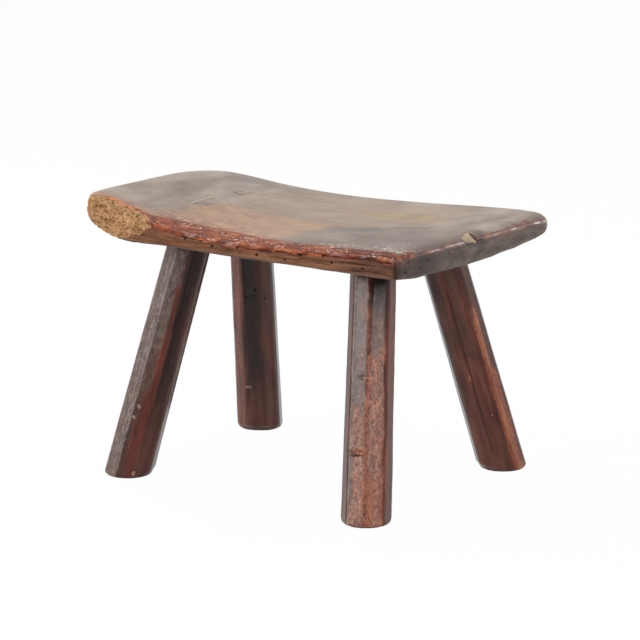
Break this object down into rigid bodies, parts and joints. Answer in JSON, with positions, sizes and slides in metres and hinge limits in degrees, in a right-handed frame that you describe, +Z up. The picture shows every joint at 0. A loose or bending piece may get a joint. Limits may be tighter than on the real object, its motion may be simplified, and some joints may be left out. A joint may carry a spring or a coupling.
{
  "type": "milking stool",
  "caption": "Low country milking stool: a thick dished plank seat with a crumbled corner, on splayed octagonal legs whose wedged round tenons go right through the seat.",
  "frame": {"origin": "On the floor, under the middle of the stool's bounding box.", "axes": "+X runs along the seat to its low right end, the end nearer the camera in the picture; -Y is the near long side of the seat; +Z is up."},
  "size_m": [0.31, 0.2347, 0.228],
  "materials": {
    "seat_wood": "old hardwood plank, worn tan-grey patina on top, red-brown varnish along the arrises, bare end grain at the broken corner",
    "leg_wood": "hewn hardwood, near-black stain worn to red-brown along the arrises, half gloss",
    "wedge_wood": "hardwood, worn flush with the seat and under the same patina"
  },
  "bodies": {
    "root": {"seat": "seat_wood", "leg_front_left": "leg_wood", "leg_front_right": "leg_wood", "leg_back_right": "leg_wood", "leg_back_left": "leg_wood", "wedge_front_left": "wedge_wood", "wedge_front_right": "wedge_wood", "wedge_back_right": "wedge_wood", "wedge_back_left": "wedge_wood"}
  },
  "joints": []
}
